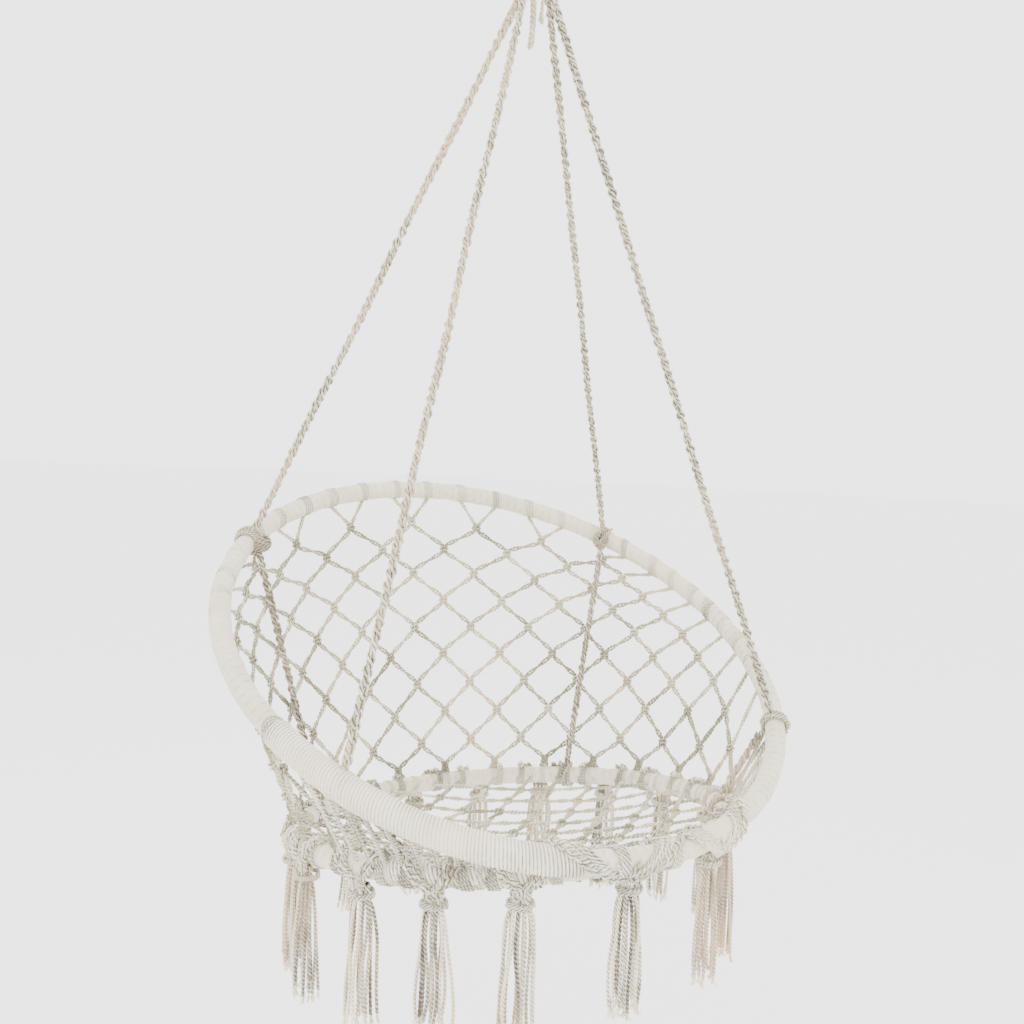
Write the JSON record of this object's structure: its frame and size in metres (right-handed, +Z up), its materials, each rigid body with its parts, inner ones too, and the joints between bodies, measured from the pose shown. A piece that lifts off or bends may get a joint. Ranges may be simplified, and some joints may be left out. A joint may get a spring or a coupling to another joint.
{
  "type": "nest swing chair",
  "caption": "Hanging nest chair: tilted back ring and smaller seat ring joined by knotted cotton net, on ropes from a steel ring, fringed with tassels.",
  "frame": {"origin": "inside of the steel ring's top, where the hook bears", "axes": "+Z up, the sitter faces -Y; left and right in names are as seen from in front, so right is +X"},
  "size_m": [0.801, 0.7173, 1.4539],
  "materials": {
    "steel": "satin",
    "ring_rod": "satin",
    "ring_wrap": "matte",
    "cord_binding": "matte",
    "rope": "matte",
    "net_cord": "matte",
    "tassel_cord": "matte"
  },
  "bodies": {
    "hanger": {"hanging_ring": "steel"},
    "hitch": {"hitch_loop_left": "rope", "hitch_loop_right": "rope", "hitch_knot_left": "rope", "hitch_knot_right": "rope", "rope_tail_left": "rope", "rope_tail_right": "rope"},
    "chair": {"rope_back_left": "rope", "rope_front_left": "rope", "rope_back_right": "rope", "rope_front_right": "rope", "ring_tie_back_left": "rope", "ring_tie_front_left": "rope", "ring_tie_back_right": "rope", "ring_tie_front_right": "rope", "lower_rope_back_left": "rope", "lower_rope_front_left": "rope", "lower_rope_back_right": "rope", "lower_rope_front_right": "rope", "back_ring_rod": "ring_rod", "back_ring_wrap": "ring_wrap", "back_ring_binding": "cord_binding", "back_net": "net_cord", "front_lashing_left": "cord_binding", "front_lashing_right": "cord_binding"},
    "seat": {"seat_ring_rod": "ring_rod", "seat_ring_wrap": "ring_wrap", "seat_ring_binding": "cord_binding", "seat_net": "net_cord", "seat_tie_back_left": "rope", "seat_tie_front_left": "rope", "seat_tie_back_right": "rope", "seat_tie_front_right": "rope"},
    "tassel_01": {"tassel_01": "tassel_cord"},
    "tassel_02": {"tassel_02": "tassel_cord"},
    "tassel_03": {"tassel_03": "tassel_cord"},
    "tassel_04": {"tassel_04": "tassel_cord"},
    "tassel_05": {"tassel_05": "tassel_cord"},
    "tassel_06": {"tassel_06": "tassel_cord"},
    "tassel_07": {"tassel_07": "tassel_cord"},
    "tassel_08": {"tassel_08": "tassel_cord"},
    "tassel_09": {"tassel_09": "tassel_cord"},
    "tassel_10": {"tassel_10": "tassel_cord"},
    "tassel_11": {"tassel_11": "tassel_cord"},
    "tassel_12": {"tassel_12": "tassel_cord"},
    "tassel_13": {"tassel_13": "tassel_cord"},
    "tassel_14": {"tassel_14": "tassel_cord"},
    "tassel_15": {"tassel_15": "tassel_cord"},
    "tassel_16": {"tassel_16": "tassel_cord"}
  },
  "joints": [
    {"name": "fore_aft_swing", "type": "hinge", "parent": "hanger", "child": "hitch", "pos_m": [0, 0, -0.06702], "axis": [1, 0, 0], "range_deg": [-35, 35]},
    {"name": "side_swing", "type": "hinge", "parent": "hitch", "child": "chair", "pos_m": [0, 0, -0.12568], "axis": [0, 1, 0], "range_deg": [-12, 12], "deforming": ["rope_back_left", "rope_front_left", "rope_back_right", "rope_front_right"]},
    {"name": "seat_fold", "type": "hinge", "parent": "chair", "child": "seat", "pos_m": [0.0048, -0.30036, -1.17355], "axis": [1, 0, 0], "range_deg": [0, 28], "deforming": ["lower_rope_back_left", "lower_rope_front_left", "lower_rope_back_right", "lower_rope_front_right", "back_net", "front_lashing_left", "front_lashing_right"]},
    {"name": "tassel_01_swing", "type": "hinge", "parent": "seat", "child": "tassel_01", "pos_m": [0.2947, 0.01325, -1.24076], "axis": [-0.1031, 0.9947, 0], "range_deg": [-25, 25]},
    {"name": "tassel_02_swing", "type": "hinge", "parent": "seat", "child": "tassel_02", "pos_m": [0.26219, 0.11818, -1.25808], "axis": [-0.4644, 0.8856, 0], "range_deg": [-25, 25]},
    {"name": "tassel_03_swing", "type": "hinge", "parent": "seat", "child": "tassel_03", "pos_m": [0.19219, 0.20346, -1.27215], "axis": [-0.7617, 0.648, 0], "range_deg": [-25, 25]},
    {"name": "tassel_04_swing", "type": "hinge", "parent": "seat", "child": "tassel_04", "pos_m": [0.10452, 0.25341, -1.28039], "axis": [-0.9382, 0.3462, 0], "range_deg": [-25, 25]},
    {"name": "tassel_05_swing", "type": "hinge", "parent": "seat", "child": "tassel_05", "pos_m": [-0.00538, 0.27058, -1.28322], "axis": [-0.9994, -0.0354, 0], "range_deg": [-25, 25]},
    {"name": "tassel_06_swing", "type": "hinge", "parent": "seat", "child": "tassel_06", "pos_m": [-0.123, 0.24164, -1.27845], "axis": [-0.8964, -0.4433, 0], "range_deg": [-25, 25]},
    {"name": "tassel_07_swing", "type": "hinge", "parent": "seat", "child": "tassel_07", "pos_m": [-0.23969, 0.13979, -1.26164], "axis": [-0.5394, -0.8421, 0], "range_deg": [-25, 25]},
    {"name": "tassel_08_swing", "type": "hinge", "parent": "seat", "child": "tassel_08", "pos_m": [-0.27677, 0.05761, -1.24808], "axis": [-0.2555, -0.9668, 0], "range_deg": [-25, 25]},
    {"name": "tassel_09_swing", "type": "hinge", "parent": "seat", "child": "tassel_09", "pos_m": [-0.28666, -0.02182, -1.23497], "axis": [0.0172, -0.9999, 0], "range_deg": [-25, 25]},
    {"name": "tassel_10_swing", "type": "hinge", "parent": "seat", "child": "tassel_10", "pos_m": [-0.26151, -0.13374, -1.2165], "axis": [0.4021, -0.9156, 0], "range_deg": [-25, 25]},
    {"name": "tassel_11_swing", "type": "hinge", "parent": "seat", "child": "tassel_11", "pos_m": [-0.20841, -0.21289, -1.20594], "axis": [0.6769, -0.736, 0], "range_deg": [-25, 25]},
    {"name": "tassel_12_swing", "type": "hinge", "parent": "seat", "child": "tassel_12", "pos_m": [-0.13207, -0.27069, -1.1964], "axis": [0.8802, -0.4745, 0], "range_deg": [-25, 25]},
    {"name": "tassel_13_swing", "type": "hinge", "parent": "seat", "child": "tassel_13", "pos_m": [-0.01046, -0.30396, -1.18841], "axis": [0.9986, -0.0531, 0], "range_deg": [-25, 25]},
    {"name": "tassel_14_swing", "type": "hinge", "parent": "seat", "child": "tassel_14", "pos_m": [0.1326, -0.27524, -1.19315], "axis": [0.8964, 0.4433, 0], "range_deg": [-25, 25]},
    {"name": "tassel_15_swing", "type": "hinge", "parent": "seat", "child": "tassel_15", "pos_m": [0.22145, -0.20919, -1.20405], "axis": [0.664, 0.7477, 0], "range_deg": [-25, 25]},
    {"name": "tassel_16_swing", "type": "hinge", "parent": "seat", "child": "tassel_16", "pos_m": [0.28204, -0.10564, -1.22114], "axis": [0.3052, 0.9523, 0], "range_deg": [-25, 25]}
  ]
}
